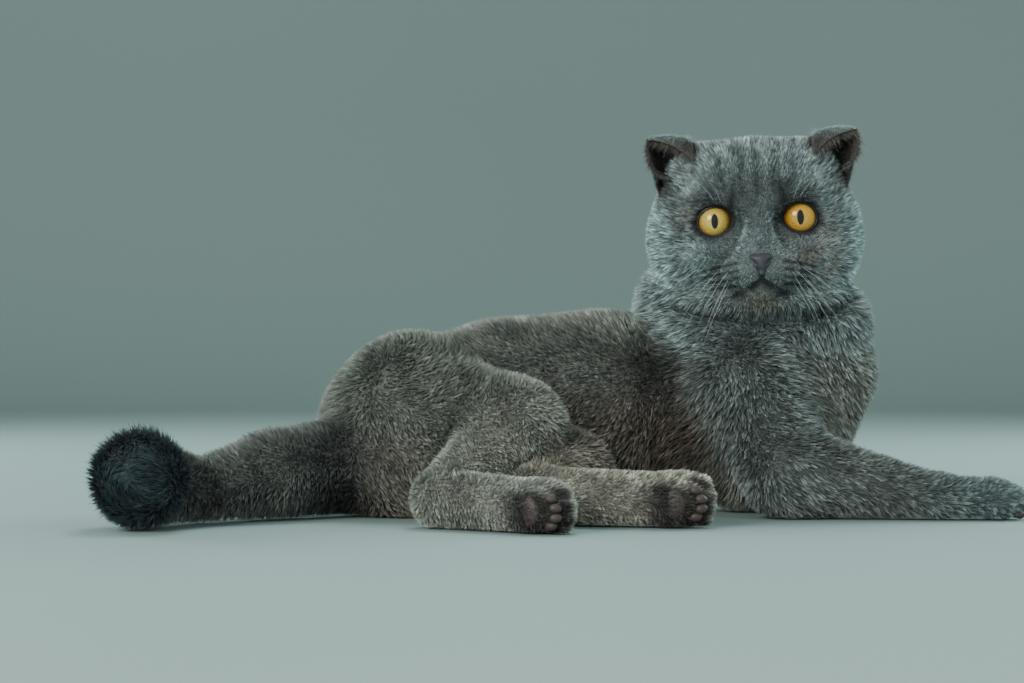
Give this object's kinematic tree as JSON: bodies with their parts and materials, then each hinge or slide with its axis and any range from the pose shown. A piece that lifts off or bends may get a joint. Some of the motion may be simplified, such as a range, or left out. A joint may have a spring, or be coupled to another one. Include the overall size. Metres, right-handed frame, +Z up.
{
  "type": "scottish fold cat",
  "caption": "Life-size still model of a fold-eared short-haired cat that lies on its hip with its chest propped up, looking ahead with a foreleg stretched out.",
  "frame": {"origin": "middle of the footprint of its bounding box, on the floor that it lies on", "axes": "+X from the tail to the outstretched forepaw, +Y from the belly to the back, +Z up"},
  "size_m": [0.5259, 0.2606, 0.229],
  "materials": {
    "coat": "dense, short, matt blue-grey fur with a soft cool sheen",
    "dark_coat": "dense, short, matt dark slate fur",
    "bare_skin": "smooth, slightly damp dark slate skin with a fine grain",
    "eyes": "clear and glossy over an amber iris with a narrow upright pupil"
  },
  "bodies": {
    "root": {"head": "coat", "ear_left": "coat", "ear_right": "coat", "eye_left": "eyes", "eye_right": "eyes", "nose": "bare_skin", "neck": "coat", "torso": "coat", "thigh_right": "coat", "shank_right": "coat", "hindpaw_right": "dark_coat", "thigh_left": "coat", "shank_left": "coat", "hindpaw_left": "dark_coat", "upper_arm_right": "coat", "forearm_right": "coat", "forepaw_right": "coat", "upper_arm_left": "coat", "forearm_left": "coat", "forepaw_left": "coat", "tail_base": "coat", "tail_middle": "coat", "tail_tip": "dark_coat"}
  },
  "joints": []
}
